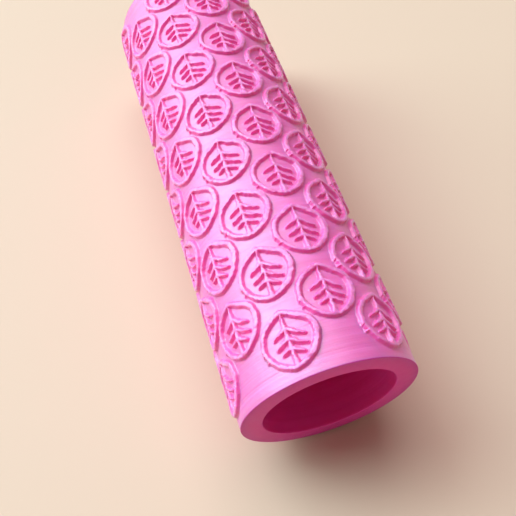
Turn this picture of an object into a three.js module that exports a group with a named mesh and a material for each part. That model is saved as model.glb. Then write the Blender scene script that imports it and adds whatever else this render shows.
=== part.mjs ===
// Textured pattern roller: a hollow printed sleeve, open at both ends, whose
// outside carries twelve lengthwise columns of small raised leaf medallions.
// Units are millimetres. The roller lies along Y with its axis on the origin:
// the near end face is at -Y, the far one at +Y, and +Z is up.

import * as THREE from 'three';

// ---------------------------------------------------------------- dimensions
const LENGTH = 100.0;          // overall length of the sleeve
const TUBE_R = 15.9;           // outer radius of the bare tube
const BORE_R = 12.0;           // radius of the open bore
const RELIEF = 0.75;           // height of the raised lines over the bare tube
const SKIN = 0.9;              // thickness of a column's strip of outer skin
const GAP = 0.3;               // clearance between the strips and the tube core
const BORE_SIDES = 40;

const COLUMNS = 12;            // columns of leaves round the tube
const FIRST_ANGLE = -21.75;    // angle of column 1 from +Z towards +X, degrees
const PITCH = 12.5;            // leaf to leaf along a column
const FIRST_LEAF = 6.8;        // first leaf's centre from the near end, odd columns
const HALF_DROP = PITCH / 2;   // even columns start half a pitch later
const LEAVES_ODD = 8;
const LEAVES_EVEN = 7;

// where the right edge of a strip runs, in degrees: wide beside its own leaves,
// narrow between them. Its left edge is the right edge of the column before.
const EDGE_WIDE = 19.6;
const EDGE_NARROW = 11.2;
const STRIP_FACET = 8.0;       // the underside's middle facet reaches this far
const END_STEPS = 5;           // facets of a strip's round edge at an end face
const SEAM = 0.3;              // clearance between neighbouring strips, degrees

// centre line of a leaf's border, as [degrees round the tube, mm along it]
const BORDER = [
  [0.8, 4.75], [14.0, 2.35], [16.0, -0.7], [9.6, -3.6],
  [1.2, -4.6], [-8.6, -3.2], [-15.1, -0.3], [-10.6, 2.7],
];
const BORDER_WIDTH = 0.85;

// veins inside the border: a midrib with three pairs of side veins, as one
// outline
const VEIN = [
  [0.6, 4.05], [-1.0, 1.6], [-7.6, 0.55], [-7.9, 0.0], [-1.5, 0.75], [-1.1, -0.25], [-7.3, -1.0],
  [-7.6, -1.55], [-1.5, -1.05], [-1.1, -1.9], [-4.9, -2.5], [-5.2, -3.0], [-1.2, -2.65], [-1.1, -3.75],
  [2.4, -3.75], [2.7, -2.65], [7.0, -3.0], [6.7, -2.5], [2.7, -1.9], [3.1, -1.05], [9.8, -1.6],
  [9.6, -1.05], [2.7, -0.25], [3.2, 0.75], [10.4, -0.05], [10.1, 0.5], [2.3, 1.6],
];

const PLASTIC = { color: 0xeda3d9, roughness: 0.42, metalness: 0.0 };

// ------------------------------------------------------------------- helpers
const DEG = Math.PI / 180;

function geometryOf(vertices, triangles) {
  const g = new THREE.BufferGeometry();
  g.setAttribute('position', new THREE.Float32BufferAttribute(vertices.flat(), 3));
  g.setIndex(triangles.flat());
  g.computeVertexNormals();
  return g;
}

const vectors = (loop) => loop.map(([x, y]) => new THREE.Vector2(x, y));

// an outline turned to run anticlockwise
function anticlockwise(loop) {
  return THREE.ShapeUtils.area(vectors(loop)) > 0 ? loop.slice() : loop.slice().reverse();
}

// the outer and inner side of a closed line drawn with a given width, as
// anticlockwise outlines of [degrees, mm]
function strokeLoops(line, width) {
  const k = TUBE_R * DEG;
  const sides = [[], []];
  const n = line.length;
  for (let i = 0; i < n; i++) {
    const p = line[i];
    const a = line[(i + n - 1) % n];
    const b = line[(i + 1) % n];
    const before = new THREE.Vector2((p[0] - a[0]) * k, p[1] - a[1]).normalize();
    const after = new THREE.Vector2((b[0] - p[0]) * k, b[1] - p[1]).normalize();
    const t = before.add(after).normalize();
    const nx = (-t.y * (width / 2)) / k;
    const ny = t.x * (width / 2);
    sides[0].push([p[0] + nx, p[1] + ny]);
    sides[1].push([p[0] - nx, p[1] - ny]);
  }
  const size = (l) => Math.abs(THREE.ShapeUtils.area(vectors(l)));
  if (size(sides[0]) < size(sides[1])) sides.reverse();
  return sides.map(anticlockwise);
}

// ------------------------------------------------------------- the tube core
// Closed lathe profile: bore, near face, seat for the strips, far face. The
// corners are brought out by the facets, so that the bore is clear to BORE_R.
function tubeCore() {
  const h = LENGTH / 2;
  const seat = TUBE_R - SKIN - GAP;
  const bore = BORE_R / Math.cos(Math.PI / BORE_SIDES);
  const profile = [[bore, -h], [seat, -h], [seat, h], [bore, h], [bore, -h]];
  return new THREE.LatheGeometry(profile.map(([r, y]) => new THREE.Vector2(r, y)), BORE_SIDES);
}

// ------------------------------------------------------ one column of leaves
// One closed skin: the ground between the leaves at the tube's radius, the
// tops of the raised lines, the walls between the two, and the strip's sides
// and underside. The strip's two long edges zigzag, so that it stays clear of
// the leaves of its neighbours, which sit half a pitch away.
function leafColumn(index) {
  const middle = FIRST_ANGLE + index * (360 / COLUMNS);
  const odd = index % 2 === 0;
  const count = odd ? LEAVES_ODD : LEAVES_EVEN;
  const first = -LENGTH / 2 + FIRST_LEAF + (odd ? 0 : HALF_DROP);
  const y0 = -LENGTH / 2;
  const y1 = LENGTH / 2;

  const vertices = [];
  const triangles = [];
  const add = (deg, y, r) => {
    const a = (middle + deg) * DEG;
    return vertices.push([r * Math.sin(a), y, r * Math.cos(a)]) - 1;
  };
  // an outline with holes, given as lists of vertices that exist already
  const face = (outline, holes, at, inward = false) => {
    const flat = [...outline, ...holes.flat()];
    const tris = THREE.ShapeUtils.triangulateShape(
      vectors(outline.map(at)), holes.map((h) => vectors(h.map(at))));
    for (const [a, b, c] of tris) {
      triangles.push(inward ? [flat[c], flat[b], flat[a]] : [flat[a], flat[b], flat[c]]);
    }
  };
  // the wall from an anticlockwise low ring up to a high one, facing outwards
  // from the outline's inside, or inwards; some sides may be left out
  const wall = (low, high, inward = false, skip = []) => {
    for (let i = 0; i < low.length; i++) {
      if (skip.includes(i)) continue;
      const j = (i + 1) % low.length;
      if (inward) triangles.push([low[j], low[i], high[i]], [low[j], high[i], high[j]]);
      else triangles.push([low[i], low[j], high[j]], [low[i], high[j], high[i]]);
    }
  };
  const flatPlace = new Map();
  const ring = (loop, y, r) => loop.map(([d, t]) => {
    const v = add(d, y + t, r);
    flatPlace.set(v, [d * TUBE_R * DEG, y + t]);
    return v;
  });
  const place = (v) => flatPlace.get(v);

  // the strip's right and left edge, in degrees, where the zigzag turns
  const stepAngle = 360 / COLUMNS;
  const edgeAt = (y) => {
    const phase = ((((y - first) / PITCH) % 1) + 1) % 1;
    const t = Math.abs(phase - 0.5) * 2;
    return EDGE_NARROW + (EDGE_WIDE - EDGE_NARROW) * t;
  };
  const rightAt = (y) => edgeAt(y) - SEAM / 2;
  const leftAt = (y) => edgeAt(y + PITCH / 2) - stepAngle + SEAM / 2;
  const turns = [y0];
  for (let i = -2; i < 2 * LEAVES_ODD + 2; i++) {
    const y = first + (i * PITCH) / 2;
    if (y > y0 + 0.2 && y < y1 - 0.2) turns.push(y);
  }
  turns.push(y1);

  // the strip's outline: up its right edge, across the far end, down its left
  // edge and back across the near end
  const m = turns.length;
  const right = turns.map((y) => [rightAt(y), y]);
  const left = turns.slice().reverse().map((y) => [leftAt(y), y]);
  const across = (from, to) => Array.from({ length: END_STEPS - 1 }, (_, i) => {
    const t = (i + 1) / END_STEPS;
    return [from[0] + (to[0] - from[0]) * t, from[1]];
  });
  const edge = [...right, ...left];
  const round = [...right, ...across(right[m - 1], left[0]), ...left, ...across(left[m - 1], right[0])];
  const rim = ring(round, 0, TUBE_R);
  const rimRight = rim.slice(0, m);
  const rimLeft = rim.slice(m + END_STEPS - 1, 2 * m + END_STEPS - 1);

  // the underside has three long flat facets; an edge point lies on the plane
  // of its side facet
  const low = TUBE_R - SKIN;
  const chord = (half) => {
    const p = [Math.sin(STRIP_FACET * DEG), Math.cos(STRIP_FACET * DEG)];
    const q = [Math.sin(EDGE_WIDE * DEG), Math.cos(EDGE_WIDE * DEG)];
    const s = Math.tan(half * DEG);
    const t = (s * p[1] - p[0]) / (q[0] - p[0] - s * (q[1] - p[1]));
    return low * Math.hypot(p[0] + t * (q[0] - p[0]), p[1] + t * (q[1] - p[1]));
  };
  const under = edge.map(([d, y]) => {
    const v = add(d, y, chord(Math.abs(d)));
    flatPlace.set(v, [d, y]);
    return v;
  });
  wall(under, [...rimRight, ...rimLeft], false, [m - 1, 2 * m - 1]);
  const corner = (d, y) => {
    const v = add(d, y, low);
    flatPlace.set(v, [d, y]);
    return v;
  };
  const [ra, rb] = [corner(STRIP_FACET, y0), corner(STRIP_FACET, y1)];
  const [la, lb] = [corner(-STRIP_FACET, y0), corner(-STRIP_FACET, y1)];
  face([ra, ...under.slice(0, m), rb], [], place, true);
  face([lb, ...under.slice(m), la], [], place, true);
  face([la, ra, rb, lb], [], place, true);
  // the two flat end faces, seen from outside the far and the near end
  const seen = (sign) => (v) => {
    const [x, , z] = vertices[v];
    const c = Math.cos(middle * DEG);
    const k = Math.sin(middle * DEG);
    return [sign * (x * c - z * k), x * k + z * c];
  };
  face([under[m - 1], rb, lb, under[m], ...rim.slice(m - 1, m + END_STEPS).reverse()], [], seen(-1));
  face([under[2 * m - 1], la, ra, under[0], rim[0], ...rim.slice(2 * m + END_STEPS - 2).reverse()], [], seen(1));

  const [outer, inner] = strokeLoops(BORDER, BORDER_WIDTH);
  const vein = anticlockwise(VEIN);
  const feet = [];
  for (let i = 0; i < count; i++) {
    const y = first + i * PITCH;
    const top = TUBE_R + RELIEF;
    const outerFoot = ring(outer, y, TUBE_R);
    const outerTop = ring(outer, y, top);
    const innerFoot = ring(inner, y, TUBE_R);
    const innerTop = ring(inner, y, top);
    const veinFoot = ring(vein, y, TUBE_R);
    const veinTop = ring(vein, y, top);
    wall(outerFoot, outerTop);
    wall(innerFoot, innerTop, true);
    wall(veinFoot, veinTop);
    face(outerTop, [innerTop.slice().reverse()], place);
    face(innerFoot, [veinFoot.slice().reverse()], place);
    face(veinTop, [], place);
    feet.push(outerFoot.slice().reverse());
  }
  face(rim, feet, place);
  return geometryOf(vertices, triangles);
}

// ------------------------------------------------------------------ assembly
const roller = new THREE.Group();
roller.name = 'textured_pattern_roller';

function piece(name, geometry) {
  const mesh = new THREE.Mesh(geometry, new THREE.MeshStandardMaterial(PLASTIC));
  mesh.name = name;
  roller.add(mesh);
}

piece('roller_tube', tubeCore());
for (let i = 0; i < COLUMNS; i++) {
  piece(`leaf_column_${String(i + 1).padStart(2, '0')}`, leafColumn(i));
}

export default roller;
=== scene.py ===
# Textured pattern roller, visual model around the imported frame. Metres, +Z up,
# the sleeve lies along Y. Lengths inside the builders are in millimetres.
import bpy
import math
import numpy as np
from mathutils import Matrix, Vector, geometry


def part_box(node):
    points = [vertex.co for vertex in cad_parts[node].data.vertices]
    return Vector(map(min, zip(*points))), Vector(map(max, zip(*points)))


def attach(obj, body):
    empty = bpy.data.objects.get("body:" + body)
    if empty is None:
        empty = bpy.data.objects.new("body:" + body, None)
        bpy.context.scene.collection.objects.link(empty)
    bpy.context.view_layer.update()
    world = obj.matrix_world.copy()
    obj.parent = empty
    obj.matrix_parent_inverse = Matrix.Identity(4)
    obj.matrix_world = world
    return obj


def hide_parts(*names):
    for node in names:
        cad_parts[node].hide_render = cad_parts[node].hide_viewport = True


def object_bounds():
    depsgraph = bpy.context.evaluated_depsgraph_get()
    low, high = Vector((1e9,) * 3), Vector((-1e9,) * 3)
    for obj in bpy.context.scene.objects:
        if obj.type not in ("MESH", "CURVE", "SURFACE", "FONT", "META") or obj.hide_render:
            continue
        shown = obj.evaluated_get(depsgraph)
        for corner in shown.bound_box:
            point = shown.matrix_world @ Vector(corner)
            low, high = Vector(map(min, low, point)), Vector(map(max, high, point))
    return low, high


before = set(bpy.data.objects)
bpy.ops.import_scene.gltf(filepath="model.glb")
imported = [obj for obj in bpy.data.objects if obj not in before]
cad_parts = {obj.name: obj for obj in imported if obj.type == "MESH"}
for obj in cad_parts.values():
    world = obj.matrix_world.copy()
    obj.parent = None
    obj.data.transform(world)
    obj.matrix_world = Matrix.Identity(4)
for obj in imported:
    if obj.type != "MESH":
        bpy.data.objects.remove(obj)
CAD_LO, CAD_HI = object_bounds()
TUBE_LO, TUBE_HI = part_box("roller_tube")

MM = 0.001
HALF = TUBE_HI.y / MM                   # half the sleeve's length
RELIEF = 0.75                           # height of the raised lines
TUBE_R = CAD_HI.z / MM - RELIEF         # bare outer radius, about 15.9
BORE_R = 12.0
SKIN_R = TUBE_R - 0.9                   # underside of the patterned skin
RIM = 0.12                              # rounding of the outer rim
END = HALF - RIM                        # where the patterned skin stops
K = TUBE_R * math.pi / 180.0            # mm of arc per degree

COLUMNS = 12
FIRST_ANGLE = -21.75
PITCH = 12.5
FIRST_LEAF = -HALF + 6.8
EDGE_WIDE = 19.6 * K
EDGE_NARROW = 11.2 * K
STEP = 30.0 * K


# ---------------------------------------------------------------- small tools
def hash01(i, j, k, seed):
    """A repeatable number from 0 to 1 for each lattice point."""
    h = (i.astype(np.int64) * 73856093) ^ (j.astype(np.int64) * 19349663) ^ (
        k.astype(np.int64) * 83492791) ^ (int(seed) * 2654435761)
    h = (h ^ (h >> 13)) & 0x7FFFFFFF
    h = (h * 1274126177) & 0x7FFFFFFF
    h = (h ^ (h >> 16)) & 0x7FFFFFFF
    h = (h * 1103515245 + 12345) & 0x7FFFFFFF
    return (h >> 8) / float(0x7FFFFF)


def noise(x, y, z, seed=0):
    """Smooth value noise from -1 to 1."""
    xi, yi, zi = np.floor(x), np.floor(y), np.floor(z)
    fx, fy, fz = x - xi, y - yi, z - zi
    fx, fy, fz = [f * f * (3 - 2 * f) for f in (fx, fy, fz)]
    out = 0.0
    for dx in (0, 1):
        for dy in (0, 1):
            for dz in (0, 1):
                w = (fx if dx else 1 - fx) * (fy if dy else 1 - fy) * (fz if dz else 1 - fz)
                out = out + w * hash01(xi + dx, yi + dy, zi + dz, seed)
    return out * 2 - 1


def new_object(name, verts, faces, body="root"):
    me = bpy.data.meshes.new(name)
    me.from_pydata([tuple(v) for v in verts], [], [tuple(int(i) for i in f) for f in faces])
    me.update()
    ob = bpy.data.objects.new(name, me)
    bpy.context.scene.collection.objects.link(ob)
    return ob


# ------------------------------------------------------------ the leaf motif
# Centre lines in units of the bare radius: [round the tube, along it], then
# the half width of the line's foot in mm.
BORDER = [
    (0.008, 0.297), (-0.045, 0.272), (-0.100, 0.240), (-0.150, 0.208), (-0.195, 0.172),
    (-0.225, 0.135), (-0.245, 0.095), (-0.258, 0.050), (-0.264, 0.000), (-0.263, -0.040),
    (-0.250, -0.085), (-0.230, -0.125), (-0.205, -0.165), (-0.170, -0.205), (-0.130, -0.242),
    (-0.085, -0.270), (-0.035, -0.288), (0.015, -0.297), (0.060, -0.292), (0.109, -0.272),
    (0.152, -0.243), (0.191, -0.209), (0.229, -0.166), (0.259, -0.116), (0.282, -0.066),
    (0.296, -0.016), (0.299, 0.034), (0.292, 0.085), (0.276, 0.125), (0.249, 0.160),
    (0.207, 0.192), (0.158, 0.220), (0.104, 0.248), (0.055, 0.276),
]
BORDER_W = 0.50
STROKES = [
    # spurs where the drawn border's two ends cross
    [(-0.262, -0.045, 0.34), (-0.284, -0.064, 0.22)],
    [(-0.226, -0.132, 0.34), (-0.268, -0.136, 0.20)],
    # midrib, narrow under each pair of veins and wide over the next
    [(0.008, 0.290, 0.30), (0.009, 0.190, 0.32), (0.010, 0.125, 0.49)],
    [(0.010, 0.105, 0.30), (0.010, 0.050, 0.40), (0.010, 0.005, 0.58)],
    [(0.010, -0.020, 0.30), (0.010, -0.065, 0.40), (0.010, -0.105, 0.58)],
    [(0.011, -0.120, 0.33), (0.011, -0.200, 0.42), (0.012, -0.285, 0.54)],
    # first pair of side veins
    [(0.008, 0.112, 0.42), (-0.045, 0.084, 0.40), (-0.090, 0.060, 0.35), (-0.133, 0.036, 0.24)],
    [(0.012, 0.116, 0.42), (0.055, 0.084, 0.40), (0.105, 0.040, 0.35), (0.182, 0.002, 0.24)],
    # second pair
    [(0.008, 0.000, 0.42), (-0.045, -0.024, 0.40), (-0.090, -0.046, 0.35), (-0.128, -0.066, 0.24)],
    [(0.012, 0.004, 0.42), (0.055, -0.028, 0.40), (0.105, -0.068, 0.35), (0.178, -0.102, 0.24)],
    # third pair
    [(0.008, -0.102, 0.42), (-0.040, -0.120, 0.38), (-0.088, -0.142, 0.24)],
    [(0.012, -0.100, 0.42), (0.050, -0.126, 0.40), (0.080, -0.150, 0.35), (0.124, -0.172, 0.24)],
]
# section through a raised line: [distance inside its foot, height]
SECTION = [(-0.26, 0.0), (-0.05, 0.06), (0.06, 0.33), (0.15, 0.57), (0.26, 0.70), (0.38, 0.745), (0.50, 0.75)]
LEVELS = [s[0] for s in SECTION[:-1]]
# how steep it is there, for the shading
SLOPE = [(-0.26, 0.0), (-0.05, 1.3), (0.06, 3.4), (0.15, 1.9), (0.26, 0.50), (0.38, 0.08), (0.50, 0.0)]


def stroke_field(px, py):
    """Distance inside the nearest raised line's foot, in mm, negative outside."""
    def seg(ax, ay, aw, bx, by, bw):
        dx, dy = bx - ax, by - ay
        t = np.clip(((px - ax) * dx + (py - ay) * dy) / (dx * dx + dy * dy + 1e-12), 0, 1)
        return aw + (bw - aw) * t - np.hypot(px - ax - t * dx, py - ay - t * dy)
    parts = []
    ring = None
    n = len(BORDER)
    for i in range(n):
        (a, b), (c, d) = BORDER[i], BORDER[(i + 1) % n]
        wa, wb = [BORDER_W + 0.09 * min(max((q - 0.06) / 0.16, 0), 1) for q in (a, c)]
        v = seg(a * TUBE_R, b * TUBE_R, wa, c * TUBE_R, d * TUBE_R, wb)
        ring = v if ring is None else np.maximum(ring, v)
    parts.append(ring)
    for s in STROKES:
        line = None
        for (a, b, wa), (c, d, wb) in zip(s[:-1], s[1:]):
            v = seg(a * TUBE_R, b * TUBE_R, wa, c * TUBE_R, d * TUBE_R, wb)
            line = v if line is None else np.maximum(line, v)
        parts.append(line)
    k = 0.035
    m = np.max(parts, axis=0)
    total = sum(np.exp(np.clip((p - m) / k, -60, 0)) for p in parts)
    d = m + k * np.log(total)
    # the hand that drew it: the lines swell and narrow a little
    d = d + 0.045 * noise(px * 1.1 + 7.3, py * 1.1 + 1.7, px * 0, 3) + 0.055 * noise(
        px * 2.7, py * 2.7, px * 0, 5)
    return d


GRID = 0.05
GX = np.arange(-5.6, 5.9, GRID)
GY = np.arange(-6.0, 6.0, GRID)
FX, FY = np.meshgrid(GX, GY)
FIELD = stroke_field(FX, FY)
GRAD_Y, GRAD_X = np.gradient(FIELD, GRID)


def field_at(x, y, grid=None):
    """The field, or another grid, at points."""
    g = FIELD if grid is None else grid
    u = np.clip((x - GX[0]) / GRID, 0, len(GX) - 1.001)
    v = np.clip((y - GY[0]) / GRID, 0, len(GY) - 1.001)
    i, j = u.astype(int), v.astype(int)
    a, b = u - i, v - j
    return (g[j, i] * (1 - a) * (1 - b) + g[j, i + 1] * a * (1 - b)
            + g[j + 1, i] * (1 - a) * b + g[j + 1, i + 1] * a * b)


def contours(level):
    """Closed level lines of the field, as lists of points."""
    inside = FIELD > level
    case = (inside[:-1, :-1] * 1 + inside[:-1, 1:] * 2 + inside[1:, 1:] * 4 + inside[1:, :-1] * 8)
    table = {1: [(3, 0)], 2: [(0, 1)], 3: [(3, 1)], 4: [(1, 2)], 5: [(3, 2), (1, 0)], 6: [(0, 2)],
             7: [(3, 2)], 8: [(2, 3)], 9: [(2, 0)], 10: [(0, 3), (2, 1)], 11: [(2, 1)],
             12: [(1, 3)], 13: [(1, 0)], 14: [(0, 3)]}
    nxt, pos = {}, {}

    def key(j, i, e):
        if e == 0:
            return (0, j, i)
        if e == 1:
            return (1, j, i + 1)
        if e == 2:
            return (0, j + 1, i)
        return (1, j, i)

    def point(k):
        if k not in pos:
            t, j, i = k
            j2, i2 = (j, i + 1) if t == 0 else (j + 1, i)
            a, b = FIELD[j, i], FIELD[j2, i2]
            f = (level - a) / (b - a)
            pos[k] = (GX[i] + (GX[i2] - GX[i]) * f, GY[j] + (GY[j2] - GY[j]) * f)
        return pos[k]

    for j, i in zip(*np.nonzero((case > 0) & (case < 15))):
        for a, b in table[int(case[j, i])]:
            nxt[key(j, i, a)] = key(j, i, b)
    loops = []
    while nxt:
        k = next(iter(nxt))
        loop = []
        while k in nxt:
            loop.append(point(k))
            k = nxt.pop(k)
        if len(loop) > 8:
            loops.append(np.array(loop))
    return loops


def thin(loop, tol, longest):
    """Fewer points on a closed line: within tol of it and no step over longest."""
    n = len(loop)
    far = int(np.argmax(np.hypot(*(loop - loop[0]).T)))
    keep = {0, far}
    pts = np.vstack([loop, loop[:1]])
    stack = [(0, far), (far, n)]
    while stack:
        a, b = stack.pop()
        if b - a < 2:
            continue
        p, q = pts[a], pts[b]
        d = q - p
        length = math.hypot(*d)
        mid = pts[a + 1:b]
        if length < 1e-9:
            dist = np.hypot(*(mid - p).T)
        else:
            dist = np.abs((mid[:, 0] - p[0]) * d[1] - (mid[:, 1] - p[1]) * d[0]) / length
        i = int(np.argmax(dist))
        if dist[i] > tol:
            i = a + 1 + i
        elif length > longest:
            i = (a + b) // 2
        else:
            continue
        keep.add(i)
        stack += [(a, i), (i, b)]
    return loop[sorted(keep - {n})]


def right_edge(y):
    """Where a column's right edge runs at y, for a column whose leaf is at 0."""
    phase = (y / PITCH) % 1.0
    t = abs(phase - 0.5) * 2
    return EDGE_NARROW + (EDGE_WIDE - EDGE_NARROW) * t


def left_edge(y):
    return right_edge(y + PITCH / 2) - STEP


def triangulate(points, edges):
    out = geometry.delaunay_2d_cdt([Vector(p) for p in points], edges, [], 0, 1e-6, False)
    v = np.array([tuple(p) for p in out[0]])
    f = np.array([tuple(t) for t in out[2] if len(t) == 3], dtype=int)
    a, b, c = v[f[:, 0]], v[f[:, 1]], v[f[:, 2]]
    area = (b[:, 0] - a[:, 0]) * (c[:, 1] - a[:, 1]) - (b[:, 1] - a[:, 1]) * (c[:, 0] - a[:, 0])
    f = f[np.abs(area) > 1e-9]
    area = area[np.abs(area) > 1e-9]
    f[area < 0] = f[area < 0][:, ::-1]
    return v, f


def cell(y0, y1, cuts, with_leaf):
    """One cell of a column, from y0 to y1 about its leaf: points and triangles.
    cuts are the heights, about the leaf, where the zigzag edges have points."""
    ys = [y0] + [c for c in cuts if y0 + 1e-6 < c < y1 - 1e-6] + [y1]
    rim = [(right_edge(y), y) for y in ys]
    a, b = (left_edge(y1), y1), (right_edge(y1), y1)
    rim += [(b[0] + (a[0] - b[0]) * i / 6, y1) for i in range(1, 6)]
    rim += [(left_edge(y), y) for y in reversed(ys)]
    a, b = (left_edge(y0), y0), (right_edge(y0), y0)
    rim += [(a[0] + (b[0] - a[0]) * i / 6, y0) for i in range(1, 6)]
    points = list(rim)
    n = len(rim)
    edges = [(i, (i + 1) % n) for i in range(n)]
    if with_leaf:
        for li, level in enumerate(LEVELS):
            for loop in contours(level):
                loop = thin(loop, (0.03, 0.018, 0.014, 0.014, 0.014, 0.02)[li], (0.60, 0.36, 0.27, 0.27, 0.27, 0.42)[li])
                s = len(points)
                m = len(loop)
                points += [tuple(p) for p in loop]
                edges += [(s + i, s + (i + 1) % m) for i in range(m)]
    # ground points
    gap = 1.35
    ny = max(1, int(round((y1 - y0) / gap)))
    for j in range(1, ny):
        y = y0 + (y1 - y0) * j / ny
        xa, xb = left_edge(y), right_edge(y)
        nx = max(2, int(round((xb - xa) / gap)))
        for i in range(1, nx):
            x = xa + (xb - xa) * (i + (0.25 if j % 2 else -0.25)) / nx
            x = min(max(x, xa + 0.35), xb - 0.35)
            if not with_leaf or field_at(np.array([x]), np.array([y]))[0] < -0.42:
                points.append((x, y))
    return triangulate(points, edges)


CUTS = [PITCH / 12 * i for i in range(-60, 61)]


def column_cells(odd):
    """The cells of one column, placed: list of (points, triangles, leaf index or None)."""
    first = FIRST_LEAF + (0 if odd else PITCH / 2)
    count = 8 if odd else 7
    cells = []
    h = PITCH / 2
    normal = cell(-h, h, CUTS, True)
    low = -END - first
    cells.append((cell(low, -h, CUTS, False), first, None))
    for i in range(count):
        y = first + i * PITCH
        top = END - y
        if top < h:
            cells.append((cell(-h, top, CUTS, True), y, i))
        else:
            cells.append((normal, y, i))
    last = first + (count - 1) * PITCH
    if END - last > h:
        cells.append((cell(h, END - last, CUTS, False), last, None))
    return cells


def build_column(index, cells):
    """A closed skin: the patterned outside, its edges and its underside."""
    seed = 11 + index * 17
    rng = np.random.default_rng(900 + index)
    allx, ally, alld, gradx, grady, tris = [], [], [], [], [], []
    base = 0
    for (v, f), yc, leaf in cells:
        x, y = v[:, 0], v[:, 1]
        if leaf is None:
            d = np.full(len(x), -9.0)
            gx, gy = d * 0, d * 0
        else:
            d = field_at(x, y)
            d = np.where((np.abs(x) > 5.5) | (np.abs(y) > 5.9), -9.0, d)
            gx, gy = field_at(x, y, GRAD_X), field_at(x, y, GRAD_Y)
        allx.append(x)
        ally.append(y + yc)
        alld.append(d)
        gradx.append(gx)
        grady.append(gy)
        tris.append(f + base)
        base += len(x)
    x, y, d = np.concatenate(allx), np.concatenate(ally), np.concatenate(alld)
    gx, gy = np.concatenate(gradx), np.concatenate(grady)
    f = np.concatenate(tris)
    # weld the cells where they meet
    code = np.round(np.stack([x, y], 1) * 2000).astype(np.int64)
    _, keep, back = np.unique(code, axis=0, return_index=True, return_inverse=True)
    back = back.reshape(-1)
    x, y, d, gx, gy = x[keep], y[keep], d[keep], gx[keep], gy[keep]
    f = back[f]
    f = f[(f[:, 0] != f[:, 1]) & (f[:, 1] != f[:, 2]) & (f[:, 2] != f[:, 0])]

    height = np.interp(d, [s[0] for s in SECTION], [s[1] for s in SECTION])
    near = np.clip((d + 0.26) / 0.28, 0, 1)
    near = near * near * (3 - 2 * near)
    z0 = np.zeros_like(x) + index * 3.7
    # printed edges: each layer starts a touch early or late
    dx = 0.065 * noise(x * 0.9, y * 2.6, z0, seed) + 0.050 * noise(x * 0.35, y * 0.55, z0, seed + 1)
    dx = dx + 0.110 * noise(x * 2.0, y * 3.9, z0, seed + 10)
    dy = 0.060 * noise(x * 2.3, y * 1.2, z0, seed + 2) + 0.045 * noise(x * 0.4, y * 0.4, z0, seed + 3)
    dy = dy + 0.090 * noise(x * 3.7, y * 2.5, z0, seed + 11)
    tall = height / RELIEF
    dh = tall * (0.030 * noise(x * 0.9, y * 0.9, z0, seed + 4) + 0.075 * noise(x * 2.4, y * 3.6, z0, seed + 5) - 0.06)
    # slopes of the same unevenness, and of grain too fine for the mesh
    sx = 0.24 * noise(x * 1.9, y * 3.1, z0, seed + 6) + 0.10 * noise(x * 0.8, y * 0.8, z0, seed + 7)
    sy = 0.28 * noise(x * 2.4, y * 2.6, z0, seed + 8) + 0.12 * noise(x * 0.7, y * 1.1, z0, seed + 9)
    # small nubs left by the nozzle on the raised lines
    ridge = np.nonzero((d > 0.05) & (d < 0.3))[0]
    for p in rng.choice(ridge, size=120, replace=False):
        ex, ey = x - x[p], y - y[p]
        s = rng.uniform(0.12, 0.26)
        bump = np.exp(-(ex * ex + ey * ey) / (2 * s * s))
        dx = dx + rng.uniform(-0.12, 0.12) * bump
        dy = dy + rng.uniform(-0.09, 0.09) * bump
        dh = dh + tall * rng.uniform(-0.09, 0.04) * bump
        k = rng.uniform(-0.7, 0.7)
        sx = sx + ex / s * k * bump
        sy = sy + ey / s * k * bump
    dh = np.minimum(dh, 0.0)
    r = TUBE_R + height + dh
    r = np.minimum(r, TUBE_R + RELIEF)
    xs = x + dx * near
    ys = np.clip(y + dy * near, -END, END)
    ang = (FIRST_ANGLE + index * 30.0) * math.pi / 180 + xs / TUBE_R
    top = np.stack([r * np.sin(ang), ys, r * np.cos(ang)], 1)

    # the open edge of the skin, closed with a wall and an underside
    e = {}
    for a, b, c in f:
        for p, q in ((a, b), (b, c), (c, a)):
            if (q, p) in e:
                del e[(q, p)]
            else:
                e[(p, q)] = True
    nxt = {p: q for p, q in e}
    start = next(iter(nxt))
    loop = [start]
    while nxt[loop[-1]] != start:
        loop.append(nxt[loop[-1]])
    if len(loop) != len(nxt):
        print("open edges besides the rim:", len(nxt) - len(loop), "in column", index + 1)
    loop = np.array(loop)
    n = len(top)
    m = len(loop)
    la = ang[loop]
    low = np.stack([SKIN_R * np.sin(la), ys[loop], SKIN_R * np.cos(la)], 1)
    verts = [top, low]
    faces = [tuple(t) for t in f]
    for i in range(m):
        j = (i + 1) % m
        faces.append((loop[j], loop[i], n + i, n + j))
    # underside: rows across between the two long edges
    pts2 = [(x[k], y[k]) for k in loop]
    extra = []
    for yy in np.arange(-END + 1.5, END - 1.0, 2.0):
        yc = cells[1][1]
        a, b = left_edge(yy - yc) + 0.5, right_edge(yy - yc) - 0.5
        for i in range(5):
            extra.append((a + (b - a) * i / 4, yy))
    uv, uf = triangulate(pts2 + extra, [(i, (i + 1) % m) for i in range(m)])
    # map the underside's points back to the rim where they are the same
    code = {(round(p[0] * 500), round(p[1] * 500)): n + i for i, p in enumerate(pts2)}
    ids = []
    added = []
    for p in uv:
        key = (round(p[0] * 500), round(p[1] * 500))
        hit = None
        for ox in (0, -1, 1):
            for oy in (0, -1, 1):
                if hit is None:
                    hit = code.get((key[0] + ox, key[1] + oy))
        if hit is None:
            t = (FIRST_ANGLE + index * 30.0) * math.pi / 180 + p[0] / TUBE_R
            added.append((SKIN_R * math.sin(t), p[1], SKIN_R * math.cos(t)))
            hit = n + m + len(added) - 1
        ids.append(hit)
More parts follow.
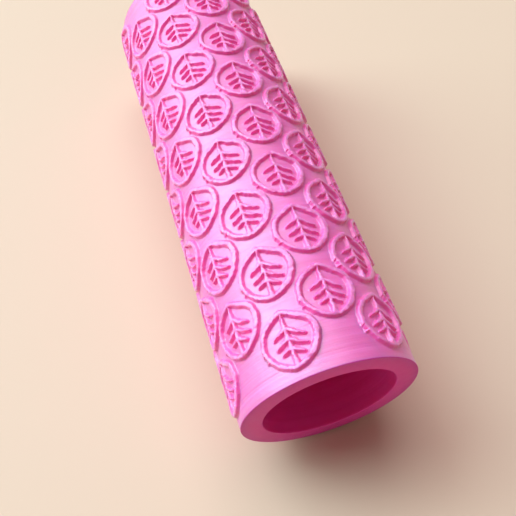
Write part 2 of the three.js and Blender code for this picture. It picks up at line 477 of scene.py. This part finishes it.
    # the outline isn't convex, so triangles outside it are dropped
    cen = uv[uf].mean(1)
    yc = cells[1][1]
    for t, c in zip(uf, cen):
        if left_edge(c[1] - yc) - 1e-3 < c[0] < right_edge(c[1] - yc) + 1e-3:
            faces.append((ids[t[2]], ids[t[1]], ids[t[0]]))
    if added:
        verts.append(np.array(added))
    verts = np.concatenate(verts) * MM
    name = "leaf_relief_%02d" % (index + 1)
    ob = new_object(name, verts, faces)
    # normals: from the section of the raised lines, and square to the axis on
    # the ground, so that neighbouring skins shade as one surface
    size = np.hypot(gx, gy) + 1e-9
    slope = np.interp(d, [s[0] for s in SLOPE], [s[1] for s in SLOPE]) * np.minimum(size, 1) / size
    sa = slope * gx + sx * near
    sb = slope * gy + sy * near
    radial = np.stack([np.sin(ang), np.zeros_like(ang), np.cos(ang)], 1)
    across = np.stack([np.cos(ang), np.zeros_like(ang), -np.sin(ang)], 1)
    vn = radial - across * sa[:, None] - np.array([0.0, 1.0, 0.0]) * sb[:, None]
    vn /= np.linalg.norm(vn, axis=1)[:, None]
    me = ob.data
    smooth = np.ones(len(me.polygons), bool)
    me.polygons.foreach_set("use_smooth", smooth)
    loops = np.zeros(len(me.loops), int)
    me.loops.foreach_get("vertex_index", loops)
    owner = np.repeat(np.arange(len(me.polygons)), [p.loop_total for p in me.polygons])
    face_n = np.zeros(len(me.polygons) * 3)
    me.polygons.foreach_get("normal", face_n)
    split = face_n.reshape(-1, 3)[owner]
    on_top = owner < len(f)
    split[on_top] = vn[loops[on_top]]
    me.normals_split_custom_set(split.tolist())
    me.update()
    return ob


# ------------------------------------------------------------------ the tube
def build_tube():
    """Bore, rounded end faces and the seat under the skin, as one turned body."""
    prof = []

    def arc(cy, cr, r, a0, a1, n):
        for i in range(n + 1):
            t = math.radians(a0 + (a1 - a0) * i / n)
            prof.append((cy + r * math.cos(t), cr + r * math.sin(t)))
    inner = 0.14
    # (y, radius), starting in the bore and going round by the near end
    ys = list(np.linspace(HALF - inner, -HALF + inner, 190))
    for y in ys[1:-1]:
        prof.append((y, BORE_R))
    arc(-HALF + inner, BORE_R + inner, inner, 270, 180, 5)
    arc(-HALF + RIM, TUBE_R - RIM, RIM, 180, 90, 6)
    prof.append((-END + 0.02, TUBE_R - 0.004))
    prof.append((-END + 0.10, SKIN_R - 0.01))
    prof.append((END - 0.10, SKIN_R - 0.01))
    prof.append((END - 0.02, TUBE_R - 0.004))
    arc(HALF - RIM, TUBE_R - RIM, RIM, 90, 0, 6)
    arc(HALF - inner, BORE_R + inner, inner, 0, -90, 5)
    p = np.array(prof)
    n = 144
    y, r = p[:, 0], p[:, 1]
    bore = (r < BORE_R + 0.01) & (np.abs(y) < HALF - inner)
    face = (r > BORE_R + inner + 0.001) & (r < TUBE_R - RIM - 0.001)
    t = np.arange(n) * 2 * math.pi / n
    Y = np.repeat(y[:, None], n, 1)
    R = np.repeat(r[:, None], n, 1)
    T = np.repeat(t[None, :], len(y), 0)
    # layers in the bore don't line up perfectly
    wob = 0.020 * noise(Y * 1.7, T * 0.8, Y * 0, 31) + 0.016 * noise(Y * 0.45, np.cos(T) * 1.5, np.sin(T) * 1.5, 32)
    R = R + np.where(bore[:, None], wob, 0.0)
    V = np.stack([R * np.sin(T), Y, R * np.cos(T)], -1).reshape(-1, 3) * MM
    F = []
    m = len(y)
    for i in range(m):
        j = (i + 1) % m
        for k in range(n):
            l = (k + 1) % n
            F.append((i * n + k, i * n + l, j * n + l, j * n + k))
    ob = new_object("roller_tube_shell", V, F)
    # turn the faces outwards
    import bmesh
    bm = bmesh.new()
    bm.from_mesh(ob.data)
    bmesh.ops.recalc_face_normals(bm, faces=bm.faces)
    if bm.calc_volume(signed=True) < 0:
        bmesh.ops.reverse_faces(bm, faces=bm.faces)
    bm.to_mesh(ob.data)
    bm.free()
    ob.data.polygons.foreach_set("use_smooth", np.ones(len(ob.data.polygons), bool))
    ob.data.update()
    return ob


# ------------------------------------------------------------------ material
def plastic(name, relief):
    mat = bpy.data.materials.new(name)
    mat.use_nodes = True
    nt = mat.node_tree
    N, L = nt.nodes, nt.links
    bsdf = N["Principled BSDF"]
    bsdf.inputs["IOR"].default_value = 1.70 if relief else 1.5
    bsdf.inputs["Specular IOR Level"].default_value = 1.0 if relief else 0.5
    bsdf.inputs["Sheen Weight"].default_value = 0.35 if relief else 0.0
    bsdf.inputs["Sheen Roughness"].default_value = 0.5
    bsdf.inputs["Subsurface Weight"].default_value = 0.7
    bsdf.inputs["Subsurface Radius"].default_value = (1.0, 0.15, 0.45)
    bsdf.inputs["Subsurface Scale"].default_value = 0.0008

    tc = N.new("ShaderNodeTexCoord")

    def mapping(scale, rot=(0, 0, 0)):
        m = N.new("ShaderNodeMapping")
        m.inputs["Scale"].default_value = scale
        m.inputs["Rotation"].default_value = rot
        L.new(tc.outputs["Object"], m.inputs["Vector"])
        return m.outputs["Vector"]

    def tex(vec, scale, detail=2.0, rough=0.5):
        n = N.new("ShaderNodeTexNoise")
        n.inputs["Scale"].default_value = scale
        n.inputs["Detail"].default_value = detail
        n.inputs["Roughness"].default_value = rough
        L.new(vec, n.inputs["Vector"])
        return n.outputs["Fac"]

    def ramp(fac, stops):
        r = N.new("ShaderNodeValToRGB")
        r.color_ramp.elements[0].position = stops[0][0]
        r.color_ramp.elements[0].color = stops[0][1]
        r.color_ramp.elements[1].position = stops[-1][0]
        r.color_ramp.elements[1].color = stops[-1][1]
        for p, c in stops[1:-1]:
            e = r.color_ramp.elements.new(p)
            e.color = c
        L.new(fac, r.inputs["Fac"])
        return r.outputs["Color"]

    def math_node(op, a, b=None, clamp=False):
        m = N.new("ShaderNodeMath")
        m.operation = op
        m.use_clamp = clamp
        for i, v in enumerate((a, b)):
            if v is None:
                continue
            if isinstance(v, (int, float)):
                m.inputs[i].default_value = v
            else:
                L.new(v, m.inputs[i])
        return m.outputs[0]

    # colour: a slow mottle and faint bands from layer to layer
    slow = tex(mapping((1, 1, 1)), 90.0, 3.0, 0.55)
    bands = tex(mapping((12, 900, 12)), 1.0, 2.0, 0.6)
    mixed = math_node("ADD", math_node("MULTIPLY", slow, 0.45), math_node("MULTIPLY", bands, 0.55))
    # the patterned skin gets a paler pink than the tube, though both are one plastic: painted light on the lit
    # outside, and painted shade in the tube's deeper pink on the bore and end faces
    col = ramp(mixed, [
        (0.34, (0.83, 0.082, 0.40, 1)),
        (0.50, (0.89, 0.110, 0.47, 1)),
        (0.66, (0.95, 0.150, 0.55, 1)),
    ] if relief else [
        (0.34, (0.91, 0.042, 0.38, 1)),
        (0.50, (0.95, 0.052, 0.42, 1)),
        (0.66, (0.99, 0.068, 0.47, 1)),
    ])
    if relief:
        # painted shade and painted highlight: the sides of the raised lines are painted a deeper pink where their
        # shade falls, and their tops a paler pink for the light on them
        sep = N.new("ShaderNodeSeparateXYZ")
        L.new(tc.outputs["Object"], sep.inputs[0])
        rad = math_node("SQRT", math_node("ADD", math_node("MULTIPLY", sep.outputs["X"], sep.outputs["X"]),
                                          math_node("MULTIPLY", sep.outputs["Z"], sep.outputs["Z"])))
        tall = math_node("MULTIPLY", math_node("SUBTRACT", rad, TUBE_R * MM), 1000.0 / RELIEF)
        painted_shade_mask = ramp(tall, [(0.05, (0, 0, 0, 1)), (0.20, (1, 1, 1, 1)), (0.66, (1, 1, 1, 1)), (0.90, (0, 0, 0, 1))])
        painted_highlight_mask = ramp(tall, [(0.78, (0, 0, 0, 1)), (0.97, (1, 1, 1, 1))])
        # deep pink: painted shade on the sides of the raised lines; pale pink: painted highlight on their tops
        for amount, to, k in ((painted_shade_mask, (0.99, 0.030, 0.40, 1), 0.55), (painted_highlight_mask, (1.0, 0.30, 0.74, 1), 0.50)):
            mix = N.new("ShaderNodeMix")
            mix.data_type = "RGBA"
            L.new(math_node("MULTIPLY", amount, k), mix.inputs[0])
            L.new(col, mix.inputs[6])
            mix.inputs[7].default_value = to
            col = mix.outputs[2]
    L.new(col, bsdf.inputs["Base Color"])
    # roughness: satin, patchy
    fine = tex(mapping((1, 1, 1)), 700.0, 3.0, 0.6)
    rr = N.new("ShaderNodeMapRange")
    L.new(math_node("ADD", math_node("MULTIPLY", fine, 0.5), math_node("MULTIPLY", slow, 0.5)), rr.inputs["Value"])
    rr.inputs["From Min"].default_value = 0.3
    rr.inputs["From Max"].default_value = 0.7
    rr.inputs["To Min"].default_value = 0.44
    rr.inputs["To Max"].default_value = 0.60
    L.new(rr.outputs["Result"], bsdf.inputs["Roughness"])
    # layer lines run round the tube: noise that changes along Y only
    line_a = tex(mapping((6, 2600, 6)), 1.0, 1.0, 0.5)
    line_b = tex(mapping((10, 700, 10)), 1.0, 2.0, 0.5)
    grain = tex(mapping((1, 1, 1)), 2600.0, 2.0, 0.5)
    h = math_node("ADD", math_node("MULTIPLY", line_a, 0.45), math_node("MULTIPLY", line_b, 1.5))
    h = math_node("ADD", h, math_node("MULTIPLY", grain, 0.22))
    bump = N.new("ShaderNodeBump")
    bump.inputs["Strength"].default_value = 1.0
    bump.inputs["Distance"].default_value = 0.00010 if relief else 0.00008
    L.new(h, bump.inputs["Height"])
    L.new(bump.outputs["Normal"], bsdf.inputs["Normal"])
    return mat


# --------------------------------------------------------------------- pieces
relief_mat = plastic("printed_pink_relief", True)
tube_mat = plastic("printed_pink_tube", False)

tube = build_tube()
tube.data.materials.append(tube_mat)
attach(tube, "root")
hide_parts("roller_tube")

odd_cells = column_cells(True)
even_cells = column_cells(False)
count = 0
for i in range(COLUMNS):
    ob = build_column(i, odd_cells if i % 2 == 0 else even_cells)
    ob.data.materials.append(relief_mat)
    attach(ob, "root")
    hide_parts("leaf_column_%02d" % (i + 1))
    count += len(ob.data.polygons)
print("relief faces", count, "tube faces", len(tube.data.polygons))

# ---------------------------------------------------------------------- stage
FLOOR_Z = CAD_LO.z


def flat_material(name, color, rough):
    mat = bpy.data.materials.new(name)
    mat.use_nodes = True
    b = mat.node_tree.nodes["Principled BSDF"]
    b.inputs["Base Color"].default_value = (*color, 1)
    b.inputs["Roughness"].default_value = rough
    return mat


s = 12.0
floor = new_object("studio_floor", [(-s, -s, FLOOR_Z), (s, -s, FLOOR_Z), (s, s, FLOOR_Z), (-s, s, FLOOR_Z)], [(0, 1, 2, 3)])
floor.data.materials.append(flat_material("studio_floor", (0.76, 0.55, 0.41), 0.7))

world = bpy.data.worlds.new("studio")
bpy.context.scene.world = world
world.use_nodes = True
world.node_tree.nodes["Background"].inputs["Color"].default_value = (1.0, 0.76, 0.74, 1)
world.node_tree.nodes["Background"].inputs["Strength"].default_value = 0.205


def softbox(name, direction, distance, size, radiance, color):
    """A square area light that faces the object, with the radiance it shows."""
    li = bpy.data.lights.new(name, "AREA")
    li.shape = "SQUARE"
    li.size = size
    li.energy = radiance * math.pi * size * size
    li.color = color
    ob = bpy.data.objects.new(name, li)
    bpy.context.scene.collection.objects.link(ob)
    d = Vector(direction).normalized()
    ob.location = d * distance
    ob.rotation_euler = d.to_track_quat("Z", "Y").to_euler()
    return ob


softbox("window_low", (-0.80, 0.45, 0.38), 2.4, 1.40, 5.4, (0.72, 1.08, 1.07))
softbox("window_high", (-0.50, 0.50, 0.70), 2.4, 1.40, 7.2, (0.76, 1.00, 1.08))
softbox("ceiling", (0.05, 0.45, 0.90), 2.4, 1.92, 2.8, (0.96, 0.98, 1.06))

# --------------------------------------------------------------------- camera
# stated in bare radii from the centre of the near end face
cam = bpy.data.cameras.new("camera")
cam.sensor_fit = "HORIZONTAL"
cam.sensor_width = 36.0
cam.lens = 671.59 / 516.0 * 36.0
cam.clip_start = 0.005
cam.clip_end = 60.0
cam_ob = bpy.data.objects.new("camera", cam)
bpy.context.scene.collection.objects.link(cam_ob)
u = TUBE_R * MM
right = Vector((0.95589, -0.29370, 0.0))
up = Vector((0.24871, 0.80948, 0.53186))
back = Vector((-0.15621, -0.50841, 0.84683))
loc = Vector((-1.47104 * u, -HALF * MM - 2.16023 * u, 6.88525 * u))
m = Matrix((right, up, back)).transposed().to_4x4()
m.translation = loc
cam_ob.matrix_world = m
bpy.context.scene.camera = cam_ob

bpy.context.scene.view_settings.view_transform = "Standard"
